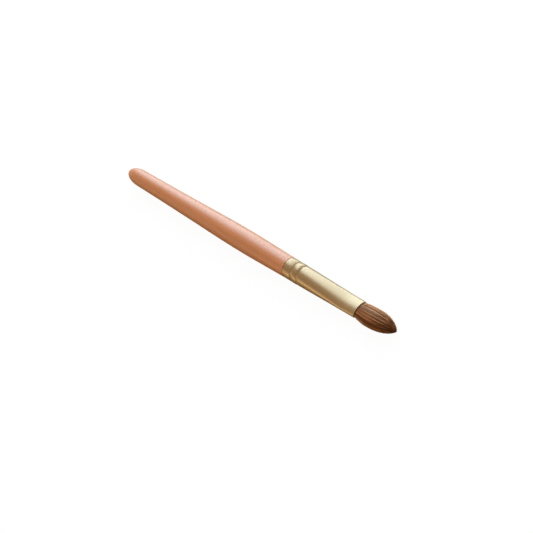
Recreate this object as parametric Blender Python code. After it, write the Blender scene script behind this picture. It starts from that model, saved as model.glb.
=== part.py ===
# Lip brush: a turned wooden handle, a drawn metal ferrule pressed flat at its
# mouth, and a tuft of hair that is bound with thread and set in resin inside it.
#
# The brush lies along X with the tip of the hair towards +X. Stations along it
# are measured from the butt of the handle. The flattened ferrule has its wide
# axis along Y and its narrow axis along Z, and the belly of the handle rests
# on z = 0. Sizes are in metres.

import math

import bmesh
import bpy

# Clearances
SEAT_GAP = 0.0001
FIT_GAP = 0.0003

# Handle
HANDLE_LENGTH = 0.0808
BUTT_DOME_LENGTH = 0.0061
BUTT_DIAMETER = 0.00591
BUTT_FLAT = 0.0005
REAR_STATION = 0.0195
REAR_DIAMETER = 0.0063
GRIP_STATION = 0.035
GRIP_DIAMETER = 0.00689
BELLY_STATION = 0.060
BELLY_DIAMETER = 0.00776
BELLY_LAND = 0.004
NECK_STATION = 0.0712
NECK_DIAMETER = 0.00747
SHOULDER_DIAMETER = 0.00705
SHOULDER_BEVEL = 0.00006
TENON_LENGTH = 0.0095
TENON_CHAMFER = 0.0005

# Ferrule, from its rear edge forwards
FERRULE_LENGTH = 0.0311
FERRULE_WALL = 0.0003
FIRST_GROOVE = 0.00329
GROOVE_SPACING = 0.00286
GROOVE_WIDTH = 0.00062
GROOVE_DEPTH = 0.00015
BEAD_RISE = 0.00006
ROUND_LENGTH = 0.0072
ROUND_DIAMETER = 0.00693
LIP_LENGTH = 0.0062
LIP_WIDTH = 0.00662
MOUTH_WIDTH = 0.00645
MOUTH_THICKNESS = 0.00371
FLATTEN_EASE = 1.12
LIP_CREASE = 0.0003
EDGE_ROUNDING = 0.0001

# Tuft, from the mouth of the ferrule outwards and inwards
HAIR_OUT = 0.0151
TUFT_BELLY_OUT = 0.0045
TUFT_BELLY_WIDTH = 0.0070
TUFT_BELLY_THICKNESS = 0.0044
COLLAR_OUT = 0.0012
COLLAR_WIDTH = 0.00645
COLLAR_THICKNESS = 0.00385
SHAFT_OUT = 0.0100
FLAME_POWER = 2.32
FLAME_ROUNDING = 0.807
TIP_GATHER = 0.24
STRAND_FILL = 0.70
STRAND_POINT = 0.35
STRAND_RECESS = 0.0005
ROOT_DEPTH = 0.0130
LATTICE_ARMS = 5
LATTICE_RINGS = 8

# Resin plug and thread binding round the root of the tuft
PLUG_FLOOR = 0.0012
PLUG_GRIP = 0.0035
PLUG_WALL = 0.0003
BINDING_TURNS = 4
THREAD_DIAMETER = 0.0004
THREAD_GROOVE = 0.00008

# Sides of the round and oval sections
HANDLE_SIDES = 32
FERRULE_SIDES = 48
INNER_SIDES = 24

# Stations that the pieces share
ferrule_rear = HANDLE_LENGTH + SEAT_GAP
mouth = ferrule_rear + FERRULE_LENGTH
tip = mouth + HAIR_OUT
groove_stations = [ferrule_rear + FIRST_GROOVE,
                   ferrule_rear + FIRST_GROOVE + GROOVE_SPACING]
round_end = ferrule_rear + ROUND_LENGTH
lip_start = mouth - LIP_LENGTH
tenon_end = HANDLE_LENGTH + TENON_LENGTH
root_rear = mouth - ROOT_DEPTH
strand_start = mouth - STRAND_RECESS
plug_rear = root_rear - FIT_GAP - PLUG_FLOOR
plug_front = root_rear + PLUG_GRIP
binding_rear = plug_front + FIT_GAP
binding_front = binding_rear + BINDING_TURNS * THREAD_DIAMETER

# The lowest facet of the belly lies on z = 0, and the origin is at mid length.
axis_height = BELLY_DIAMETER / 2 * math.cos(math.pi / HANDLE_SIDES)
origin_station = tip / 2


def mix(low, high, share):
    return low + (high - low) * share


def curve_through(points, x):
    """Smooth curve through (station, value) points, without overshoot."""
    slopes = [(b[1] - a[1]) / (b[0] - a[0]) for a, b in zip(points, points[1:])]
    tangents = [slopes[0]]
    for before, after in zip(slopes, slopes[1:]):
        same_way = before * after > 0
        tangents.append(2 * before * after / (before + after) if same_way else 0.0)
    tangents.append(slopes[-1])
    i = 0
    while i < len(points) - 2 and x > points[i + 1][0]:
        i += 1
    (x0, y0), (x1, y1) = points[i], points[i + 1]
    h = x1 - x0
    t = (x - x0) / h
    return ((2 * t**3 - 3 * t**2 + 1) * y0 + (t**3 - 2 * t**2 + t) * h * tangents[i]
            + (3 * t**2 - 2 * t**3) * y1 + (t**3 - t**2) * h * tangents[i + 1])


def spread(start, end, count):
    """Evenly spaced stations from start to end, both included."""
    return [mix(start, end, i / (count - 1)) for i in range(count)]


# Sections of the handle and the ferrule


def handle_radius(x):
    """Turned profile of the handle between its dome and its shoulder."""
    land = BELLY_LAND / 2
    points = [(BUTT_DOME_LENGTH, BUTT_DIAMETER / 2),
              (REAR_STATION, REAR_DIAMETER / 2),
              (GRIP_STATION, GRIP_DIAMETER / 2),
              (BELLY_STATION - land, BELLY_DIAMETER / 2),
              (BELLY_STATION + land, BELLY_DIAMETER / 2),
              (NECK_STATION, NECK_DIAMETER / 2),
              (HANDLE_LENGTH, SHOULDER_DIAMETER / 2)]
    return curve_through(points, x)


def plain_section(x):
    """Half width and half thickness of the ferrule, without its rolled grooves."""
    if x <= round_end:
        share = (x - ferrule_rear) / ROUND_LENGTH
        radius = mix(SHOULDER_DIAMETER, ROUND_DIAMETER, share) / 2
        return radius, radius
    if x <= lip_start:
        share = (x - round_end) / (lip_start - round_end)
        return (mix(ROUND_DIAMETER, LIP_WIDTH, share) / 2,
                mix(ROUND_DIAMETER, MOUTH_THICKNESS, share**FLATTEN_EASE) / 2)
    share = (x - lip_start) / LIP_LENGTH
    return mix(LIP_WIDTH, MOUTH_WIDTH, share) / 2, MOUTH_THICKNESS / 2


def rolled_offset(x):
    """Depth of the two grooves and rise of the bead between them at a station."""
    first, second = groove_stations
    for centre in groove_stations:
        reach = abs(x - centre) / (GROOVE_WIDTH / 2)
        if reach < 1:
            return -GROOVE_DEPTH * 0.5 * (1 + math.cos(math.pi * reach))
    if first < x < second:
        return BEAD_RISE * math.sin(math.pi * (x - first) / GROOVE_SPACING)
    return 0.0


def skin_section(x):
    """Outer half width and half thickness of the ferrule."""
    wide, narrow = plain_section(x)
    offset = rolled_offset(x)
    return wide + offset, narrow + offset


def bore_section(x, clearance=0.0):
    """Inner half width and half thickness of the ferrule, less a clearance."""
    wide, narrow = skin_section(x)
    inset = FERRULE_WALL + clearance
    return wide - inset, narrow - inset


def rolled_stations():
    """Stations over both grooves and the bead between them."""
    stations = []
    for centre in groove_stations:
        stations += [centre + GROOVE_WIDTH * step / 4 for step in range(-2, 3)]
    stations.append(sum(groove_stations) / 2)
    return sorted(stations)


# Meshes


def oval(x, wide, narrow, sides):
    """Points of an oval section; its lowest side is a flat facet."""
    ring = []
    for i in range(sides):
        angle = 2 * math.pi * (i + 0.5) / sides
        ring.append((x - origin_station,
                     wide * math.sin(angle),
                     axis_height - narrow * math.cos(angle)))
    return ring


def skin_between(bm, rings):
    """Quads between each ring of vertices and the next."""
    for near, far in zip(rings, rings[1:]):
        for i in range(len(near)):
            j = (i + 1) % len(near)
            bm.faces.new((near[i], near[j], far[j], far[i]))


def finish_object(name, bm, material, sharp_degrees=32):
    bmesh.ops.recalc_face_normals(bm, faces=bm.faces)
    mesh = bpy.data.meshes.new(name)
    bm.to_mesh(mesh)
    bm.free()
    mesh.shade_smooth()
    mesh.set_sharp_from_angle(angle=math.radians(sharp_degrees))
    mesh.materials.append(material)
    obj = bpy.data.objects.new(name, mesh)
    bpy.context.scene.collection.objects.link(obj)
    return obj


def lofted(name, sections, sides, material):
    """Solid through (station, half width, half thickness) sections, closed by flat ends."""
    bm = bmesh.new()
    rings = [[bm.verts.new(p) for p in oval(x, wide, narrow, sides)]
             for x, wide, narrow in sections]
    skin_between(bm, rings)
    bm.faces.new(rings[0])
    bm.faces.new(rings[-1])
    return finish_object(name, bm, material)


def sleeve(name, sections, sides, material):
    """Tube whose sections run along the outside and back along the inside."""
    bm = bmesh.new()
    rings = [[bm.verts.new(p) for p in oval(x, wide, narrow, sides)]
             for x, wide, narrow in sections]
    skin_between(bm, rings + [rings[0]])
    return finish_object(name, bm, material)


def new_material(name, colour, roughness, metallic=0.0, coat=0.0):
    material = bpy.data.materials.new(name)
    material.use_nodes = True
    shader = material.node_tree.nodes["Principled BSDF"]
    shader.inputs["Base Color"].default_value = (*colour, 1.0)
    shader.inputs["Roughness"].default_value = roughness
    shader.inputs["Metallic"].default_value = metallic
    shader.inputs["Coat Weight"].default_value = coat
    material.diffuse_color = (*colour, 1.0)
    return material


# Handle


def make_handle():
    """Domed butt, swelling grip, shoulder, and the tenon that the ferrule grips."""
    sections = [(0.0, BUTT_FLAT / 2, BUTT_FLAT / 2)]
    dome_steps = 9
    for i in range(1, dome_steps + 1):
        angle = math.pi / 2 * i / dome_steps
        x = BUTT_DOME_LENGTH * (1 - math.cos(angle))
        radius = BUTT_DIAMETER / 2 * math.sin(angle)
        sections.append((x, radius, radius))

    land_start = BELLY_STATION - BELLY_LAND / 2
    land_end = BELLY_STATION + BELLY_LAND / 2
    bevel_start = HANDLE_LENGTH - SHOULDER_BEVEL
    stations = spread(BUTT_DOME_LENGTH, land_start, 13)[1:]
    stations += spread(land_end, bevel_start, 8)
    for x in stations:
        radius = handle_radius(x)
        sections.append((x, radius, radius))
    rim = SHOULDER_DIAMETER / 2 - SHOULDER_BEVEL
    sections.append((HANDLE_LENGTH, rim, rim))

    # The tenon fills the round bore and takes the print of the two rolled grooves.
    chamfer_start = tenon_end - TENON_CHAMFER
    stations = [ferrule_rear] + rolled_stations() + [round_end, chamfer_start]
    root_radius = bore_section(ferrule_rear, FIT_GAP)[1]
    sections.append((HANDLE_LENGTH, root_radius, root_radius))
    for x in sorted(x for x in stations if x <= chamfer_start):
        radius = bore_section(x, FIT_GAP)[1]
        sections.append((x, radius, radius))
    nose = bore_section(chamfer_start, FIT_GAP)[1] - TENON_CHAMFER
    sections.append((tenon_end, nose, nose))

    lacquer = new_material("handle_lacquer", (0.60, 0.29, 0.165), 0.30, coat=0.4)
    return lofted("handle", sections, HANDLE_SIDES, lacquer)


# Ferrule


def make_ferrule():
    """Thin tube: round with two rolled grooves behind, pressed to an oval mouth."""
    stations = [ferrule_rear + EDGE_ROUNDING] + rolled_stations() + [round_end]
    stations += spread(round_end, lip_start - LIP_CREASE / 2, 6)[1:]
    stations += spread(lip_start + LIP_CREASE / 2, mouth - EDGE_ROUNDING, 3)

    outside = [(x, *skin_section(x)) for x in stations]
    inside = [(x, *bore_section(x)) for x in reversed(stations)]

    def edge(x):
        wide, narrow = skin_section(x)
        inner_wide, inner_narrow = bore_section(x)
        return [(x, wide - EDGE_ROUNDING, narrow - EDGE_ROUNDING),
                (x, inner_wide + EDGE_ROUNDING, inner_narrow + EDGE_ROUNDING)]

    front = edge(mouth)
    rear = list(reversed(edge(ferrule_rear)))
    metal = new_material("ferrule_metal", (0.72, 0.56, 0.36), 0.28, metallic=1.0)
    return sleeve("ferrule", outside + front + inside + rear, FERRULE_SIDES, metal)


# Resin plug and thread binding inside the ferrule


def bundle_inset(x):
    """Distance from the bore to the hair bundle: more where resin or thread wraps it."""
    wrapped = FIT_GAP + max(PLUG_WALL, THREAD_DIAMETER) + FIT_GAP
    return wrapped if x < binding_front + FIT_GAP else FIT_GAP


def make_plug():
    """Cup of set resin that fills the bore behind the hair and round its root."""
    pocket_floor = root_rear - FIT_GAP
    outside = [(x, *bore_section(x, FIT_GAP)) for x in spread(plug_rear, plug_front, 4)]
    pocket = []
    for x in reversed(spread(pocket_floor, plug_front, 3)):
        wide, narrow = bore_section(x, bundle_inset(x) - FIT_GAP)
        pocket.append((x, wide, narrow))
    resin = new_material("set_resin", (0.55, 0.38, 0.18), 0.25)
    return lofted("resin_plug", outside + pocket, INNER_SIDES, resin)


def make_binding():
    """Turns of thread side by side round the bundle, just in front of the resin."""
    steps = BINDING_TURNS * 2
    turns = []
    for i in range(steps + 1):
        x = mix(binding_rear, binding_front, i / steps)
        dip = THREAD_GROOVE if i % 2 == 0 else 0.0
        wide, narrow = bore_section(x, FIT_GAP)
        turns.append((x, wide - dip, narrow - dip))
    lining = []
    for x in (binding_front, binding_rear):
        wide, narrow = bore_section(x, FIT_GAP + THREAD_DIAMETER)
        lining.append((x, wide, narrow))
    thread = new_material("binding_thread", (0.62, 0.58, 0.50), 0.8)
    return sleeve("root_binding", turns + lining, INNER_SIDES, thread)


# Tuft


def flame_share(x):
    """Size of the tuft's outline past its belly, from 1 at the belly to 0 at the tip."""
    belly = mouth + TUFT_BELLY_OUT
    t = min(max((x - belly) / (tip - belly), 0.0), 1.0)
    return (1 - t**FLAME_POWER) ** FLAME_ROUNDING


def strand_frames():
    """Stations of the strand bends, with the half axes of the whole bundle there."""
    belly = (TUFT_BELLY_WIDTH / 2, TUFT_BELLY_THICKNESS / 2)
    shaft = flame_share(mouth + SHAFT_OUT)
    return [(strand_start, *bore_section(strand_start, FIT_GAP)),
            (mouth + COLLAR_OUT, COLLAR_WIDTH / 2, COLLAR_THICKNESS / 2),
            (mouth + TUFT_BELLY_OUT, *belly),
            (mouth + SHAFT_OUT, belly[0] * shaft, belly[1] * shaft),
            (tip, belly[0] * TIP_GATHER, belly[1] * TIP_GATHER)]


def lattice():
    """Unit disc cut into equal triangles: its points, and the corners of each cell."""
    points = [(0.0, 0.0)]
    first = [0]
    for ring in range(1, LATTICE_RINGS + 1):
        first.append(len(points))
        count = LATTICE_ARMS * ring
        for i in range(count):
            angle = 2 * math.pi * (i + 0.5) / count
            radius = ring / LATTICE_RINGS
            points.append((radius * math.sin(angle), -radius * math.cos(angle)))

    def index(ring, i):
        return first[ring] + (i % (LATTICE_ARMS * ring) if ring else 0)

    cells = []
    for ring in range(1, LATTICE_RINGS + 1):
        for arm in range(LATTICE_ARMS):
            for i in range(ring):
                outer = arm * ring + i
                inner = arm * (ring - 1) + i
                cells.append((index(ring, outer), index(ring, outer + 1),
                              index(ring - 1, inner)))
                if i < ring - 1:
                    cells.append((index(ring, outer + 1), index(ring - 1, inner + 1),
                                  index(ring - 1, inner)))
    rim = [index(LATTICE_RINGS, i) for i in range(LATTICE_ARMS * LATTICE_RINGS)]
    return points, cells, rim


def strand_end(reach):
    """Station where a strand at this share of the bundle's radius meets the outline."""
    _, _, _, shaft, end = strand_frames()
    low, high = shaft[0], tip
    for _ in range(40):
        x = (low + high) / 2
        bundle = mix(shaft[1], end[1], (x - shaft[0]) / (end[0] - shaft[0]))
        if reach * bundle < flame_share(x) * TUFT_BELLY_WIDTH / 2:
            low = x
        else:
            high = x
    return low


def make_tuft():
    """Root bundle and the strands that grow from its front face, one on each cell."""
    points, cells, rim = lattice()
    bends = strand_frames()
    bm = bmesh.new()

    def place(point, x, wide, narrow):
        return bm.verts.new((x - origin_station, point[0] * wide,
                             axis_height + point[1] * narrow))

    start = bends[0]
    base = [place(point, *start) for point in points]

    # Root bundle, from the strands back into the resin
    step = binding_front + FIT_GAP
    shoulder = step + THREAD_DIAMETER
    rings = [[base[i] for i in rim]]
    for x, inset in ((shoulder, FIT_GAP), (step, bundle_inset(root_rear)),
                     (plug_front, bundle_inset(root_rear)),
                     (root_rear, bundle_inset(root_rear))):
        wide, narrow = bore_section(x, inset)
        rings.append([place(points[i], x, wide, narrow) for i in rim])
    skin_between(bm, rings)
    bm.faces.new(rings[-1])

    # Strands: each keeps its place in the bundle and thins as the bundle gathers.
    centres = [[sum(points[i][axis] for i in cell) / 3 for axis in (0, 1)]
               for cell in cells]
    reaches = [math.hypot(*centre) for centre in centres]
    innermost, outermost = min(reaches), max(reaches)
    _, _, _, shaft, end = bends
    for cell, centre, reach in zip(cells, centres, reaches):
        stop = strand_end((reach - innermost) / (outermost - innermost))
        share = (stop - shaft[0]) / (end[0] - shaft[0])
        last = (stop, mix(shaft[1], end[1], share), mix(shaft[2], end[2], share))
        ring = [base[i] for i in cell]
        levels = [(frame, STRAND_FILL) for frame in bends[1:4]] + [(last, STRAND_POINT)]
        rings = [ring]
        for frame, fill in levels:
            corners = [(mix(centre[0], points[i][0], fill), mix(centre[1], points[i][1], fill))
                       for i in cell]
            rings.append([place(corner, *frame) for corner in corners])
        skin_between(bm, rings)
        bm.faces.new(rings[-1])

    hair = new_material("hair", (0.26, 0.13, 0.065), 0.5)
    return finish_object("hair_tuft", bm, hair, sharp_degrees=80)


def main():
    for obj in list(bpy.data.objects):
        bpy.data.objects.remove(obj, do_unlink=True)
    make_handle()
    make_ferrule()
    make_plug()
    make_binding()
    make_tuft()


main()
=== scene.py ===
import math

import bmesh
import bpy
import numpy as np
from mathutils import Matrix, Vector


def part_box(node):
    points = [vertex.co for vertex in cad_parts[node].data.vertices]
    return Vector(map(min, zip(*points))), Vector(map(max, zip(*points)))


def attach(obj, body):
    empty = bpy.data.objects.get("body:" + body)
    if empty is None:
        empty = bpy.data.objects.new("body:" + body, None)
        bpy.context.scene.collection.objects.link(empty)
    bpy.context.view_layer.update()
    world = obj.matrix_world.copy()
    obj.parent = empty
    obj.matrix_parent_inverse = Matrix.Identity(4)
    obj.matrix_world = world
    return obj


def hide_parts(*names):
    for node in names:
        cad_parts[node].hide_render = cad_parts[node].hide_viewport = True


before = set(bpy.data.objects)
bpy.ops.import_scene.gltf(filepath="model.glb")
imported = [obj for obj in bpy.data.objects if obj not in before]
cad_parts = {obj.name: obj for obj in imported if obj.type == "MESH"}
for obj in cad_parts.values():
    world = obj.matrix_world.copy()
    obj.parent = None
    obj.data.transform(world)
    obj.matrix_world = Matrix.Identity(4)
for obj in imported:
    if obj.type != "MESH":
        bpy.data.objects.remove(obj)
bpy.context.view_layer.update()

scene = bpy.context.scene
scene.view_settings.view_transform = "Standard"

ferruleLow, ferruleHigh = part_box("ferrule")
mouthX = ferruleHigh.x
seamX = ferruleLow.x
axisZ = (ferruleLow.z + ferruleHigh.z) / 2
mm = 0.001
print("frame loaded,", len(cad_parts), "nodes, mouth at", round(mouthX / mm, 2), "mm")

# the camera of the picture: the brush there lies turned a little about its own length
photoView = {
    "azimuth": 64.175,
    "elevation": 48.281,
    "roll": -25.699,
    "lens": 20.0,
    "distance": 0.48842,
    "aim": (0.00898, -0.00320, 0.00229),
    "clip": (0.01, 20.0),
}


def makeCamera():
    turn = math.radians(photoView["azimuth"])
    rise = math.radians(photoView["elevation"])
    back = Vector((math.sin(turn) * math.cos(rise), -math.cos(turn) * math.cos(rise), math.sin(rise)))
    facing = (-back).to_track_quat("-Z", "Y").to_matrix()
    facing = facing @ Matrix.Rotation(math.radians(photoView["roll"]), 3, "Z")
    camera = bpy.data.objects.new("photoCamera", bpy.data.cameras.new("photoCamera"))
    camera.data.angle = math.radians(photoView["lens"])
    camera.data.clip_start, camera.data.clip_end = photoView["clip"]
    place = Vector(photoView["aim"]) + back * photoView["distance"]
    camera.matrix_world = Matrix.Translation(place) @ facing.to_4x4()
    scene.collection.objects.link(camera)
    scene.camera = camera


makeCamera()
print("camera set")


class Wire:
    # a socket with plain maths on it: each operation adds its Math node
    def __init__(self, shade, socket):
        self.shade = shade
        self.socket = socket

    def maths(self, operation, *values):
        return self.shade.node("ShaderNodeMath", {"operation": operation}, dict(enumerate(values)))

    def __add__(self, other):
        return self.maths("ADD", self, other)

    __radd__ = __add__

    def __sub__(self, other):
        return self.maths("SUBTRACT", self, other)

    def __rsub__(self, other):
        return self.maths("SUBTRACT", other, self)

    def __mul__(self, other):
        return self.maths("MULTIPLY", self, other)

    def __truediv__(self, other):
        return self.maths("DIVIDE", self, other)

    def __abs__(self):
        return self.maths("ABSOLUTE", self)

    def highest(self, other):
        return self.maths("MAXIMUM", self, other)

    def eased(self, start, end):                 # 0 at start, 1 at end, smooth between
        return self.shade.node("ShaderNodeMapRange", {"interpolation_type": "SMOOTHSTEP"},
                               {"Value": self, "From Min": start, "From Max": end})


class Shade:
    # the nodes of one material, or of the world
    def __init__(self, owner):
        owner.use_nodes = True
        self.tree = owner.node_tree
        self.tree.nodes.clear()

    def node(self, kind, settings=None, sockets=None, out=0):
        made = self.tree.nodes.new(kind)
        for name, value in (settings or {}).items():
            if name == "stops":
                spots = made.color_ramp.elements
                for number, (place, tint) in enumerate(value):
                    spot = spots[number] if number < len(spots) else spots.new(place)
                    spot.position = place
                    spot.color = (*tint, 1.0)
            else:
                setattr(made, name, value)
        for name, value in (sockets or {}).items():
            if isinstance(value, Wire):
                self.tree.links.new(value.socket, made.inputs[name])
            else:
                made.inputs[name].default_value = value
        return Wire(self, made.outputs[out]) if len(made.outputs) else made

    def blend(self, share, first, second):       # two colours
        return self.node("ShaderNodeMix", {"data_type": "RGBA"}, {0: share, 6: first, 7: second}, out=2)

    def vector(self, operation, first, second, out=0):
        return self.node("ShaderNodeVectorMath", {"operation": operation}, {0: first, 1: second}, out=out)

    def scaled(self, vector, share):
        return self.node("ShaderNodeVectorMath", {"operation": "SCALE"}, {0: vector, 3: share})

    def split(self, vector, axis):
        return self.node("ShaderNodeSeparateXYZ", None, {0: vector}, out=axis)

    def stretched(self, place, share):           # drawn out along the brush
        return self.vector("MULTIPLY", place, (share, 1.0, 1.0))

    def noise(self, where, scale, detail=2.0, rough=0.5):
        return self.node("ShaderNodeTexNoise", None, {"Vector": where, "Scale": scale, "Detail": detail,
                                                      "Roughness": rough})

    def millimetres(self):                       # place in the part, in mm
        place = self.node("ShaderNodeTexCoord", out="Object")
        return self.vector("MULTIPLY", place, (1 / mm, 1 / mm, 1 / mm))

    def bump(self, height, distance):
        return self.node("ShaderNodeBump", None, {"Height": height, "Distance": distance})

    def ray(self, kind):                         # 1 for rays of this kind
        return self.node("ShaderNodeLightPath", out="Is " + kind + " Ray")


def colour(red, green, blue):
    # from the 0 to 255 of a colour picker
    def linear(level):
        level /= 255
        return level / 12.92 if level <= 0.04045 else ((level + 0.055) / 1.055) ** 2.4
    return (linear(red), linear(green), linear(blue), 1.0)


plainWhite = (1.0, 1.0, 1.0, 1.0)

studio = {
    "roomTint": (1.18, 1.0, 0.78),
    "ceiling": 0.34,
    "horizon": 1.45,
    "horizonRise": (0.0, 0.26),                  # height where the bright wall fades into the dim ceiling
    "groundRise": (-0.06, -0.01),                # nothing shines from below this
    "softBox": {                                 # its half sizes and soft edges are at one metre
        "toward": (-0.60, 0.72, 0.33),
        "half": (0.34, 1.38),
        "edge": (0.50, 2.00),
        "sideways": (0.02, 0.10),                # share of the way toward it where it fades out
        "level": 3.5,
        "tint": (0.68, 1.0, 1.24),
    },
    "fills": [                                   # from where, watts and tint; metal doesn't show these
        {"from": (-0.30, 0.80, 0.50), "power": 3.6, "tint": (0.90, 1.0, 0.97)},
        {"from": (-0.20, -0.32, 0.90), "power": 1.85, "tint": (1.08, 1.0, 0.95)},
    ],
    "fillSize": 0.6,
    "fillAway": 0.8,
}

# the floor is plain white to the eye alone: everything else sees these tints and levels; distances are mm
paperFloor = {
    "radius": 3000,
    "sides": 96,
    "white": 1.11,
    "diffuse": 0.30,
    "glowToEye": 0.86,                           # share of it that no shadow darkens
    "glow": 0.25,                                # the same in reflections, in front of the brush
    "tint": (1.26, 1.0, 0.60, 1),
    "farGlow": 0.50,                             # and behind it
    "farTint": (0.85, 1.10, 1.10, 1),
    "farFrom": (-3, 3),
    "contactShade": (6, 24),                     # aside, where the brush's own shade ends
    "bandGlow": 0.75,                            # a brighter band that the ferrule reflects
    "bandLevel": 2.3,
    "bandSlant": 0.78,                           # it runs back along the brush as it goes aside
    "bandGrows": (4, 46),
    "bandEnds": (62, 48),
    "bandAside": (13, 24),
}


def boxMask(shade, way):
    box = studio["softBox"]
    toward = Vector(box["toward"]).normalized()
    side = (Vector((1, 0, 0)) - toward * toward.x).normalized()
    ahead = shade.vector("DOT_PRODUCT", way, tuple(toward), out=1)
    mask = ahead.eased(*box["sideways"])
    for axis, half, edge in zip((side, toward.cross(side)), box["half"], box["edge"]):
        off = shade.vector("DOT_PRODUCT", way, tuple(axis), out=1) / ahead.highest(box["sideways"][0])
        mask = mask * abs(off).eased(half + edge / 2, half - edge / 2)
    return mask


def makeWorld():
    world = bpy.data.worlds.new("lightTent")
    scene.world = world
    shade = Shade(world)
    way = shade.node("ShaderNodeTexCoord", out="Generated")
    rise = shade.split(way, 2).eased(*studio["horizonRise"])
    room = studio["horizon"] + rise * (studio["ceiling"] - studio["horizon"])
    light = shade.scaled(studio["roomTint"], room)
    face = shade.scaled(studio["softBox"]["tint"], boxMask(shade, way) * studio["softBox"]["level"])
    light = shade.vector("ADD", light, face)
    light = shade.scaled(light, shade.split(way, 2).eased(*studio["groundRise"]))
    plain = shade.ray("Camera").highest(shade.ray("Transmission"))
    seen = shade.blend(plain, light, plainWhite)
    lit = shade.node("ShaderNodeBackground", None, {"Color": seen, "Strength": 1.0})
    shade.node("ShaderNodeOutputWorld", None, {"Surface": lit})


def whitePaper():
    made = bpy.data.materials.new("whitePaper")
    shade = Shade(made)
    eye = shade.ray("Camera")
    place = shade.millimetres()
    behind = shade.split(place, 1).eased(*paperFloor["farFrom"])
    tint = shade.blend(behind, paperFloor["tint"], paperFloor["farTint"])
    tint = shade.blend(eye, tint, plainWhite)
    matt = shade.node("ShaderNodeBsdfDiffuse", None, {"Color": shade.scaled(tint, paperFloor["diffuse"])})
    aside = shade.split(place, 1) * -1
    along = shade.split(place, 0) + aside * paperFloor["bandSlant"]
    band = along.eased(*paperFloor["bandGrows"]) * along.eased(*paperFloor["bandEnds"])
    band = band * aside.eased(*paperFloor["bandAside"])
    level = 1 + band * (1 - eye) * (paperFloor["bandLevel"] - 1)
    white = shade.node("ShaderNodeEmission", None, {
        "Color": shade.scaled(tint, level), "Strength": paperFloor["white"]})
    glow = aside.eased(*paperFloor["contactShade"]) * paperFloor["glow"]
    glow = glow + band * paperFloor["bandGlow"] + behind * paperFloor["farGlow"]
    glow = shade.ray("Glossy").highest(shade.ray("Transmission")) * glow
    glow = glow.highest(eye * paperFloor["glowToEye"])
    both = shade.node("ShaderNodeMixShader", None, {0: glow, 1: matt, 2: white})
    shade.node("ShaderNodeOutputMaterial", None, {"Surface": both})
    return made


def makeFloor():
    bm = bmesh.new()
    bmesh.ops.create_circle(bm, cap_ends=True, segments=paperFloor["sides"], radius=paperFloor["radius"] * mm)
    mesh = bpy.data.meshes.new("paleFloor")
    bm.to_mesh(mesh)
    bm.free()
    mesh.materials.append(whitePaper())
    floor = bpy.data.objects.new("paleFloor", mesh)
    scene.collection.objects.link(floor)


def makeFills():
    for one in studio["fills"]:
        lamp = bpy.data.lights.new("softFill", "AREA")
        lamp.shape = "SQUARE"
        lamp.size = studio["fillSize"]
        lamp.energy = one["power"]
        lamp.color = one["tint"]
        holder = bpy.data.objects.new("softFill", lamp)
        holder.location = Vector(one["from"]).normalized() * studio["fillAway"]
        holder.rotation_euler = holder.location.to_track_quat("Z", "Y").to_euler()
        holder.visible_glossy = False
        holder.visible_camera = False
        scene.collection.objects.link(holder)


makeWorld()
makeFloor()
makeFills()
print("studio lit")


handleFinish = {
    "tone": colour(191, 117, 66),
    "deepTone": colour(186, 111, 61),
    "warmTone": colour(196, 123, 71),
    "bareWoodAndLightTone": colour(232, 205, 170),           # the tenon's bare wood, which the seam shows, pale enough that it is also painted light lifting the seam's shade
    "bareWoodAndLightFrom": (0.12, 0.08),                    # mm behind the seam
    "roughness": 0.42,
    "ior": 1.9,
    "grain": {"stretch": 0.06, "scale": 1.6, "cut": (0.35, 0.72)},     # the cut is where one tone gives way
    "drift": {"stretch": 0.3, "scale": 0.22, "cut": (0.45, 0.75), "share": 0.6},
    "fine": {"scale": 7.0, "cut": (0.55, 0.85), "share": 0.25},
    "skin": {"scale": 0.9, "roughness": 0.08, "depth": 0.000008},      # the faint waves of the lacquer
}


def lacquer():
    # thick smooth lacquer over a close grained wood, which shows through only as a faint drift of tone
    made = bpy.data.materials.new("salmonLacquer")
    shade = Shade(made)
    place = shade.millimetres()
    grain, drift, fine, skin = (handleFinish[name] for name in ("grain", "drift", "fine", "skin"))
    along = shade.stretched(place, grain["stretch"])
    streaks = shade.noise(along, grain["scale"], detail=4.0, rough=0.55)
    clouds = shade.noise(shade.stretched(place, drift["stretch"]), drift["scale"])
    threads = shade.noise(along, fine["scale"])
    base = shade.blend(streaks.eased(*grain["cut"]), handleFinish["deepTone"], handleFinish["tone"])
    base = shade.blend(clouds.eased(*drift["cut"]) * drift["share"], base, handleFinish["warmTone"])
    base = shade.blend(threads.eased(*fine["cut"]) * fine["share"], base, handleFinish["deepTone"])
    # the tenon's bare wood, paler also as painted light against the seam's shade
    bareWoodAndLightFrom, bareTo = (seamX / mm - back for back in handleFinish["bareWoodAndLightFrom"])
    base = shade.blend(shade.split(place, 0).eased(bareWoodAndLightFrom, bareTo), base, handleFinish["bareWoodAndLightTone"])
    waves = shade.noise(place, skin["scale"], detail=1.0)
    shader = shade.node("ShaderNodeBsdfPrincipled", None, {
        "Base Color": base,
        "Roughness": handleFinish["roughness"] + (waves - 0.5) * skin["roughness"],
        "IOR": handleFinish["ior"],
        "Normal": shade.bump(waves, skin["depth"]),
    })
    shade.node("ShaderNodeOutputMaterial", None, {"Surface": shader})
    return made


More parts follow.
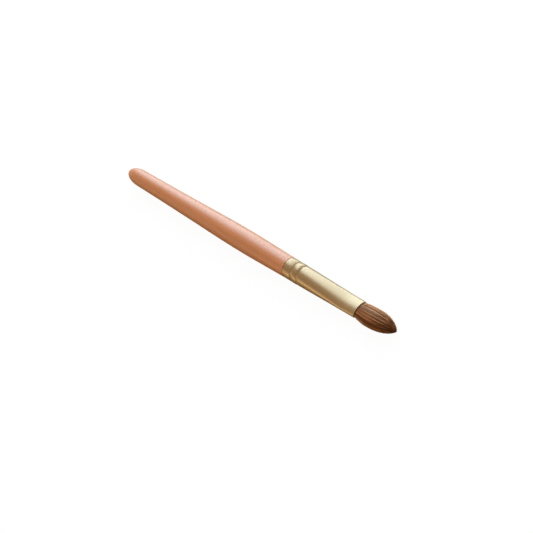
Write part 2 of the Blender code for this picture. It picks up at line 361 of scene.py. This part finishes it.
ferruleFinish = {
    "tone": (0.385, 0.228, 0.084, 1),
    "paleTone": (0.40, 0.239, 0.090, 1),
    # painted shade in the rolled grooves
    "grooveShadeTone": (0.345, 0.200, 0.072, 1),
    "metallic": 0.52,
    "roughness": 0.33,
    "ior": 2.45,
    "pressedHighlightTone": (0.42, 0.255, 0.106, 1),      # painted highlight: paler where the mouth is pressed flat, as its flatter face catches more light
    "pressedHighlightFrom": (5.3, 4.1),                   # mm behind the mouth
    "lipHighlightTone": (0.56, 0.40, 0.21, 1),            # painted highlight: the edge of the mouth, paler for the light its rounded edge catches
    "lipHighlightFrom": (0.24, 0.08),
    "grooves": (3.29, 6.15),                     # mm in front of the seam
    "grooveHalf": 0.34,
    "grooveCore": 0.3,                           # share of that which is fully dark
    "grooveRoughness": 0.1,
    "cloud": {"scale": 0.45, "cut": (0.4, 0.75)},
    "drawn": {"stretch": 0.05, "scale": 9.0, "roughness": 0.03, "depth": 0.000001},
}


def brushedMetal():
    # champagne satin metal: faint drawing lines run along it, and each rolled groove holds a darker line of
    # painted shade
    made = bpy.data.materials.new("champagneMetal")
    shade = Shade(made)
    place = shade.millimetres()
    x = shade.split(place, 0)
    cloud, drawn = ferruleFinish["cloud"], ferruleFinish["drawn"]
    lines = shade.noise(shade.stretched(place, drawn["stretch"]), drawn["scale"], detail=3.0, rough=0.6)
    clouds = shade.noise(place, cloud["scale"], detail=3.0)
    base = shade.blend(clouds.eased(*cloud["cut"]), ferruleFinish["tone"], ferruleFinish["paleTone"])
    grooveShade = None
    # painted shade: darker, and a little rougher, inside each rolled groove
    for groove in ferruleFinish["grooves"]:
        away = abs(x - (seamX / mm + groove))
        half = ferruleFinish["grooveHalf"]
        near = away.eased(half, half * ferruleFinish["grooveCore"])
        grooveShade = near if grooveShade is None else grooveShade.highest(near)
    base = shade.blend(grooveShade, base, ferruleFinish["grooveShadeTone"])
    # painted highlights: paler on the pressed flat and on the mouth's edge
    for where, tone in (("pressedHighlightFrom", "pressedHighlightTone"), ("lipHighlightFrom", "lipHighlightTone")):
        start, end = (mouthX / mm - back for back in ferruleFinish[where])
        base = shade.blend(x.eased(start, end), base, ferruleFinish[tone])
    shader = shade.node("ShaderNodeBsdfPrincipled", None, {
        "Base Color": base,
        "Metallic": ferruleFinish["metallic"],
        "Roughness": (ferruleFinish["roughness"] + (lines - 0.5) * drawn["roughness"]
                      + grooveShade * ferruleFinish["grooveRoughness"]),
        "IOR": ferruleFinish["ior"],
        "Normal": shade.bump(lines, drawn["depth"]),
    })
    shade.node("ShaderNodeOutputMaterial", None, {"Surface": shader})
    return made


resinFinish = {
    "tone": (0.50, 0.33, 0.14, 1),
    "cloudTone": (0.62, 0.46, 0.24, 1),
    "cloud": {"scale": 0.8, "cut": (0.35, 0.7), "roughness": 0.12},
    "bubbles": {"scale": 2.6, "size": 0.16, "depth": 0.00004},
    "roughness": 0.22,
}


def setResin():
    made = bpy.data.materials.new("amberResin")
    shade = Shade(made)
    place = shade.millimetres()
    cloud, bubbles = resinFinish["cloud"], resinFinish["bubbles"]
    clouds = shade.noise(place, cloud["scale"], detail=4.0, rough=0.6)
    pits = shade.node("ShaderNodeTexVoronoi", None, {"Vector": place, "Scale": bubbles["scale"]})
    shader = shade.node("ShaderNodeBsdfPrincipled", None, {
        "Base Color": shade.blend(clouds.eased(*cloud["cut"]), resinFinish["tone"], resinFinish["cloudTone"]),
        "Roughness": resinFinish["roughness"] + clouds * cloud["roughness"],
        "Normal": shade.bump(pits.eased(0.0, bubbles["size"]), bubbles["depth"]),
    })
    shade.node("ShaderNodeOutputMaterial", None, {"Surface": shader})
    return made


threadFinish = {
    "tone": (0.66, 0.60, 0.50, 1),
    "shadeTone": (0.42, 0.37, 0.29, 1),
    "twist": {"scale": 6.0, "bend": 1.5, "share": 0.7},
    "fuzz": {"scale": 14.0, "share": 0.3, "height": 0.4, "roughness": 0.15},
    "roughness": 0.7,
    "depth": 0.00005,
}


def cottonThread():
    made = bpy.data.materials.new("waxedThread")
    shade = Shade(made)
    place = shade.millimetres()
    twist, fuzz = threadFinish["twist"], threadFinish["fuzz"]
    plies = shade.node("ShaderNodeTexWave", {"wave_type": "BANDS", "bands_direction": "DIAGONAL"},
                       {"Vector": place, "Scale": twist["scale"], "Distortion": twist["bend"]}, out="Fac")
    fibres = shade.noise(place, fuzz["scale"], detail=3.0)
    tone = plies * twist["share"] + fibres * fuzz["share"]
    shader = shade.node("ShaderNodeBsdfPrincipled", None, {
        "Base Color": shade.blend(tone, threadFinish["shadeTone"], threadFinish["tone"]),
        "Roughness": threadFinish["roughness"] + fibres * fuzz["roughness"],
        "Normal": shade.bump(plies + fibres * fuzz["height"], threadFinish["depth"]),
    })
    shade.node("ShaderNodeOutputMaterial", None, {"Surface": shader})
    return made


roundForm = {
    "corner": 42,                                # degrees between faces, past which an edge stays sharp
    "weld": 0.001,                               # mm
}


def roundShading():
    # the frame's pieces come as flat triangles, and this modifier shades them round
    tree = bpy.data.node_groups.new("roundShading", "GeometryNodeTree")
    for way in ("INPUT", "OUTPUT"):
        tree.interface.new_socket("Geometry", in_out=way, socket_type="NodeSocketGeometry")
    given, result = tree.nodes.new("NodeGroupInput"), tree.nodes.new("NodeGroupOutput")
    weld = tree.nodes.new("GeometryNodeMergeByDistance")
    weld.inputs["Distance"].default_value = roundForm["weld"] * mm
    angle = tree.nodes.new("GeometryNodeInputMeshEdgeAngle")
    sharp = tree.nodes.new("FunctionNodeCompare")
    sharp.operation = "GREATER_THAN"
    sharp.inputs["B"].default_value = math.radians(roundForm["corner"])
    normals = tree.nodes.new("GeometryNodeSetMeshNormal")
    normals.mode = "SHARPNESS"
    normals.inputs["Remove Custom"].default_value = True
    for start, end in ((given.outputs[0], weld.inputs["Geometry"]),
                       (weld.outputs[0], normals.inputs["Mesh"]),
                       (angle.outputs["Unsigned Angle"], sharp.inputs["A"]),
                       (sharp.outputs[0], normals.inputs["Edge Sharpness"]),
                       (normals.outputs[0], result.inputs[0])):
        tree.links.new(start, end)
    return tree


roundTree = roundShading()


def dress(node, material):
    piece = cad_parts[node]
    piece.modifiers.new("roundForms", "NODES").node_group = roundTree
    for slot in piece.material_slots:
        slot.material = material


dress("handle", lacquer())
dress("ferrule", brushedMetal())
dress("resin_plug", setResin())
dress("root_binding", cottonThread())
print("handle, ferrule, resin and thread finished")


# the tuft, as hair: distances are mm, and out is from the mouth of the ferrule
tuft = {
    "strands": 2400,
    "rings": 13,
    "ringEase": 1.35,                            # rings lie closer together towards the tip
    "sides": 3,
    "start": -1.5,
    "tipOut": 15.4,
    "profile": [                                 # out, half width, half thickness
        (-1.5, 2.60, 1.24),
        (0.0, 2.86, 1.50),
        (1.2, 3.22, 1.93),
        (5.2, 3.63, 2.27),
    ],
    "flamePower": 2.45,
    "flameRounding": 0.745,
    "lean": {"most": -0.10, "out": 4.5, "spread": 2.8},      # the belly lies a little to one side
    "homeStray": 0.35,                           # how far a strand strays from its even place, in strand gaps
    "homeReach": 0.995,
    "endSpread": 0.42,                           # how many of the strands end short of the tip
    "endPower": 3,
    "endStray": 0.35,
    "endSteps": 260,                             # places along the tuft where a strand may end
    "fill": 0.98,                                # strand width as a share of the room for it
    "thickest": 0.062,
    "point": 4.0,                                # length over which a strand thins to its end
    "pointEase": 0.6,
    "endWidth": 0.16,
    "formShare": 1.0,                            # how much of the tuft's own form is in a strand's shade
    "seed": 4,
}

# locks that the strands draw into towards the tip
locks = {
    "count": 300,
    "turn": 0.9,                                 # turns their pattern round the axis
    "stray": 0.25,
    "pull": 0.42,
    "pullEase": 0.9,
}

# tones from 0, dark, to 1, light
hairTone = {
    "middle": 0.50,
    "darkLocks": 0.26,                           # share of the locks
    "darkRange": (0.0, 0.3),
    "paleRange": (0.5, 1.0),
    "lockTones": 0.60,
    "ownTones": 0.55,
    "side": 0.20,                                # painted light: paler hair towards the side the soft box lights
    "edge": 0.35,                                # painted rim light: paler hair where the tuft is thin, at its edges
    "rimLightFrom": 0.75,
    "rimLightOnTips": 0.8,                             # share of the tip's dark that the painted rim light takes away
    "wisps": 14,                                 # fine streaks, as waves round the tuft
    "wispsRound": (14, 44),                      # how often they come round it
    "wispDrift": 0.35,
    "wisp": 0.15,
    "root": {"out": -0.3, "over": 0.8, "share": 0.35},       # painted shade: darker where it leaves the ferrule
    "tips": {"out": 6.0, "over": 8.0, "power": 1.3, "tone": 0.34},
    # painted shade: the dark tone of the tuft's inside, where the shade among the strands falls
    "core": 0.06,
    # painted shade: the dark tone of the bound root inside the ferrule
    "bound": 0.15,
}

# the imported inside of the tuft, which closes the gaps between the strands, dark with painted shade
core = {
    "sides": 24,
    "nearRings": (-0.9, 3.0, 8),                 # first, last and how many
    "farRings": (4.0, 14),                       # first and how many
    "tipGap": 0.6,
    "share": 0.80,
    "taper": {"out": 6.0, "over": 9.0, "power": 2, "share": 0.55},
}

rootGap = 0.4                                    # mm behind the mouth, where the frame's own root bundle ends


def throughPoints(points, x):
    # smooth curve through (x, value) points that never swings past them
    xs, ys = np.array(points, dtype=float).T
    slopes = np.diff(ys) / np.diff(xs)
    lean = np.concatenate((slopes[:1], np.zeros(len(slopes) - 1), [0.0]))
    for i in range(1, len(slopes)):
        if slopes[i - 1] * slopes[i] > 0:
            lean[i] = 2 * slopes[i - 1] * slopes[i] / (slopes[i - 1] + slopes[i])
    i = np.clip(np.searchsorted(xs, x) - 1, 0, len(xs) - 2)
    h = xs[i + 1] - xs[i]
    t = np.clip((x - xs[i]) / h, 0, 1)
    return ((2 * t**3 - 3 * t**2 + 1) * ys[i] + (t**3 - 2 * t**2 + t) * h * lean[i]
            + (3 * t**2 - 2 * t**3) * ys[i + 1] + (t**3 - t**2) * h * lean[i + 1])


def unit(vectors):
    return vectors / np.maximum(np.linalg.norm(vectors, axis=-1, keepdims=True), 1e-6)


def pastBelly(out):
    # 0 up to the belly, 1 at the tip
    bellyOut = tuft["profile"][-1][0]
    return np.clip((out - bellyOut) / (tuft["tipOut"] - bellyOut), 0, 1)


def tuftHalves(out):
    # half width and half thickness of the whole tuft
    bellyOut = tuft["profile"][-1][0]
    flame = (1 - pastBelly(out) ** tuft["flamePower"]) ** tuft["flameRounding"]
    wide = throughPoints([(p[0], p[1]) for p in tuft["profile"]], np.minimum(out, bellyOut))
    thick = throughPoints([(p[0], p[2]) for p in tuft["profile"]], np.minimum(out, bellyOut))
    return wide * flame, thick * flame


def reachLeft(out):
    # share of the bundle's radius that still has strands at this distance
    return 1 - tuft["endSpread"] * pastBelly(out) ** tuft["endPower"]


def leanAt(out):
    lean = tuft["lean"]
    return lean["most"] * np.exp(-((out - lean["out"]) / lean["spread"]) ** 2)


def lockPull(out):
    return locks["pull"] * np.clip(out / tuft["tipOut"], 0, 1) ** locks["pullEase"]


def evenPlaces(count, turned):
    # evenly spread places in a round bundle of radius 1
    i = np.arange(count)
    reach = np.sqrt((i + 0.5) / count)
    goldenTurn = math.pi * (3 - math.sqrt(5))
    turn = i * goldenTurn + turned
    return np.stack((reach * np.cos(turn), reach * np.sin(turn)), axis=1)


def strandPaths(rng):
    count = tuft["strands"]
    home = evenPlaces(count, 0)
    home += rng.normal(0, tuft["homeStray"] / math.sqrt(count), home.shape)
    home /= np.maximum(1, np.linalg.norm(home, axis=1, keepdims=True) / tuft["homeReach"])

    middles = evenPlaces(locks["count"], locks["turn"])
    middles += rng.normal(0, locks["stray"] / math.sqrt(locks["count"]), middles.shape)
    room = np.array(tuft["profile"][-1][1:])
    apart = np.linalg.norm((home[:, None] - middles[None]) * room, axis=2)
    lock = apart.argmin(axis=1)
    toLock = middles[lock] - home

    # each strand runs until the tuft's outline has closed in on its place
    outs = np.linspace(tuft["start"], tuft["tipOut"], tuft["endSteps"])
    paths = home[:, None] + toLock[:, None] * lockPull(outs)[None, :, None]
    over = np.linalg.norm(paths, axis=2) > reachLeft(outs)[None]
    over[:, -1] = True
    ends = outs[over.argmax(axis=1)] - rng.uniform(0, tuft["endStray"], count)

    steps = 1 - (1 - np.linspace(0, 1, tuft["rings"])) ** tuft["ringEase"]
    out = tuft["start"] + (ends - tuft["start"])[:, None] * steps
    share = home[:, None] + toLock[:, None] * lockPull(out)[..., None]
    share = share / reachLeft(out)[..., None]
    share /= np.maximum(1, np.linalg.norm(share, axis=2, keepdims=True))
    return out, share, ends, lock


def strandTones(rng, out, share, lock):
    # each lock has its own tone and each strand a little, and the root, which lies in the dark, gets painted
    # shade
    dark = rng.uniform(0, 1, locks["count"]) < hairTone["darkLocks"]
    darkTones = rng.uniform(*hairTone["darkRange"], len(dark))
    lockTone = np.where(dark, darkTones, rng.uniform(*hairTone["paleRange"], len(dark)))[lock]
    own = rng.uniform(-0.5, 0.5, len(lock))
    tone = hairTone["middle"] + (lockTone - 0.5) * hairTone["lockTones"] + own * hairTone["ownTones"]
    # painted light: paler towards the lit side of the tuft, darker towards the other
    tone = tone[:, None] + hairTone["side"] * share[..., 0]
    # painted rim light at the tuft's edges
    edge = np.clip((np.abs(share[..., 0]) - hairTone["rimLightFrom"]) / (1 - hairTone["rimLightFrom"]), 0, 1)
    tone += hairTone["edge"] * edge
    turned = np.arctan2(share[..., 1], share[..., 0])
    for _ in range(hairTone["wisps"]):
        often, drift = rng.integers(*hairTone["wispsRound"]), rng.normal(0, hairTone["wispDrift"])
        tone += (hairTone["wisp"] * math.sqrt(2 / hairTone["wisps"])
                 * np.cos(often * turned + drift * out + rng.uniform(0, 2 * math.pi)))
    root, tips = hairTone["root"], hairTone["tips"]
    # painted shade at the root
    tone *= root["share"] + (1 - root["share"]) * np.clip((out - root["out"]) / root["over"], 0, 1)
    darker = np.clip((out - tips["out"]) / tips["over"], 0, 1) ** tips["power"]
    return tone - tips["tone"] * darker * (1 - hairTone["rimLightOnTips"] * edge)


def strandMesh(rng):
    out, share, ends, lock = strandPaths(rng)
    count, rings = out.shape
    sides = tuft["sides"]
    wide, thick = tuftHalves(out)
    room = np.sqrt(wide * thick / count) / reachLeft(out)
    point = np.clip((ends[:, None] - out) / tuft["point"], 0, 1) ** tuft["pointEase"]
    thickness = np.minimum(room, tuft["thickest"]) * (tuft["endWidth"] + (1 - tuft["endWidth"]) * point)
    thickness *= tuft["fill"]
    middle = np.stack((out, share[..., 0] * (wide - thickness) + leanAt(out),
                       share[..., 1] * (thick - thickness)), axis=2)

    along = unit(np.gradient(middle, axis=1))
    first = unit(np.cross(along, (0.0, 0.0, 1.0)))
    second = np.cross(first, along)
    spin = rng.uniform(0, 2 * math.pi, count)[:, None, None] + np.arange(sides) * 2 * math.pi / sides
    corner = (middle[:, :, None] + thickness[:, :, None, None] *
              (first[:, :, None] * np.cos(spin)[..., None] + second[:, :, None] * np.sin(spin)[..., None]))

    # light falls on a strand partly by its own roundness and partly by the form of the whole tuft
    depth = np.linalg.norm(share, axis=2)
    slim = np.gradient(wide, axis=1) / np.gradient(out, axis=1)
    flat = np.sqrt(thick / wide)
    form = np.stack((-slim * depth**2, share[..., 0] * flat, share[..., 1] / flat), axis=2)
    formed = (tuft["formShare"] * depth)[..., None, None]
    ownFacing = (corner - middle[:, :, None]) / thickness[:, :, None, None]
    facing = ownFacing * (1 - formed) + unit(form)[:, :, None] * formed

    number = np.arange(count * rings * sides).reshape(count, rings, sides)
    near, far = number[:, :-1], number[:, 1:]
    faces = np.stack((near, far, np.roll(far, -1, axis=2), np.roll(near, -1, axis=2)), axis=-1)
    faces = faces.reshape(-1, 4).tolist() + number[:, -1, ::-1].tolist()
    tones = np.repeat(strandTones(rng, out, share, lock)[:, :, None], sides, axis=2)
    return corner, faces, tones, facing


def coreMesh():
    first, rings = core["farRings"]
    outs = np.concatenate((np.linspace(*core["nearRings"]),
                           np.linspace(first, tuft["tipOut"] - core["tipGap"], rings)))
    wide, thick = tuftHalves(outs)
    angle = np.arange(core["sides"]) * 2 * math.pi / core["sides"]
    taper = core["taper"]
    thinned = 1 - taper["share"] * np.clip((outs - taper["out"]) / taper["over"], 0, 1) ** taper["power"]
    share = (core["share"] * thinned)[:, None]
    across = wide[:, None] * share * np.cos(angle)
    up = thick[:, None] * share * np.sin(angle)
    along = np.repeat(outs[:, None], len(angle), axis=1)
    points = np.stack((along, across + leanAt(outs)[:, None], up), axis=2)
    number = np.arange(across.size).reshape(across.shape)
    near, far = number[:-1], number[1:]
    faces = np.stack((near, np.roll(near, -1, axis=1), np.roll(far, -1, axis=1), far), axis=-1)
    faces = faces.reshape(-1, 4).tolist() + [number[0][::-1].tolist(), number[-1].tolist()]
    return points, faces, np.full(across.size, hairTone["core"]), np.stack((across * 0, across, up), axis=2)


def rootMesh():
    # the bound root inside the ferrule, as the frame has it, in a dark tone of painted shade
    bm = bmesh.new()
    bm.from_mesh(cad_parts["hair_tuft"].data)
    limit = mouthX - rootGap * mm
    bmesh.ops.delete(bm, geom=[v for v in bm.verts if v.co.x > limit], context="VERTS")
    bm.verts.index_update()
    points = np.array([[(v.co.x - mouthX) / mm, v.co.y / mm, (v.co.z - axisZ) / mm] for v in bm.verts])
    faces = [[v.index for v in f.verts] for f in bm.faces]
    facing = np.array([v.normal[:] for v in bm.verts])
    bm.free()
    return points, faces, np.full(len(points), hairTone["bound"]), facing


hairFinish = {
    "tones": [
        (0.0, (0.040, 0.010, 0.003)),
        (0.28, (0.100, 0.026, 0.007)),
        (0.60, (0.245, 0.075, 0.019)),
        (1.0, (0.64, 0.29, 0.115)),
    ],
    "streak": {"stretch": 0.10, "scale": 2.6, "tone": 0.2, "roughness": 0.15},
    "roughness": 0.34,
    "ior": 1.55,
    "glossTint": (1.0, 0.66, 0.36, 1.0),
    "sheen": 1.0,
    "sheenTint": (1.0, 0.60, 0.32, 1.0),
    "sheenRoughness": 0.35,
}


def hairMaterial():
    made = bpy.data.materials.new("brownHair")
    shade = Shade(made)
    streak = hairFinish["streak"]
    place = shade.stretched(shade.millimetres(), streak["stretch"])
    streaks = shade.noise(place, streak["scale"], detail=3.0, rough=0.6)
    tone = shade.node("ShaderNodeAttribute", {"attribute_name": "hairTone"}, out="Fac")
    tone = tone + (streaks - 0.5) * streak["tone"]
    shader = shade.node("ShaderNodeBsdfPrincipled", None, {
        "Base Color": shade.node("ShaderNodeValToRGB", {"stops": hairFinish["tones"]}, {"Fac": tone}),
        "Roughness": hairFinish["roughness"] + (streaks - 0.5) * streak["roughness"],
        "IOR": hairFinish["ior"],
        "Specular Tint": hairFinish["glossTint"],
        "Sheen Weight": hairFinish["sheen"],
        "Sheen Tint": hairFinish["sheenTint"],
        "Sheen Roughness": hairFinish["sheenRoughness"],
    })
    shade.node("ShaderNodeOutputMaterial", None, {"Surface": shader})
    return made


def makeTuft():
    rng = np.random.default_rng(tuft["seed"])
    points, faces, tones, facing = [], [], [], []
    for places, patches, shades, outward in (strandMesh(rng), coreMesh(), rootMesh()):
        shift = len(points)
        points.extend(places.reshape(-1, 3).tolist())
        faces.extend([[shift + v for v in patch] for patch in patches])
        tones.extend(shades.ravel().tolist())
        facing.extend(unit(outward).reshape(-1, 3).tolist())
    mesh = bpy.data.meshes.new("hairTuft")
    mesh.from_pydata([(mouthX + p[0] * mm, p[1] * mm, axisZ + p[2] * mm) for p in points], [], faces)
    mesh.attributes.new("hairTone", "FLOAT", "POINT").data.foreach_set("value", tones)
    mesh.materials.append(hairMaterial())
    mesh.shade_smooth()
    mesh.normals_split_custom_set_from_vertices(facing)
    mesh.update()
    hair = bpy.data.objects.new("hairTuft", mesh)
    scene.collection.objects.link(hair)
    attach(hair, "root")
    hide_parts("hair_tuft")
    print("tuft:", tuft["strands"], "strands,", len(faces), "faces")


makeTuft()
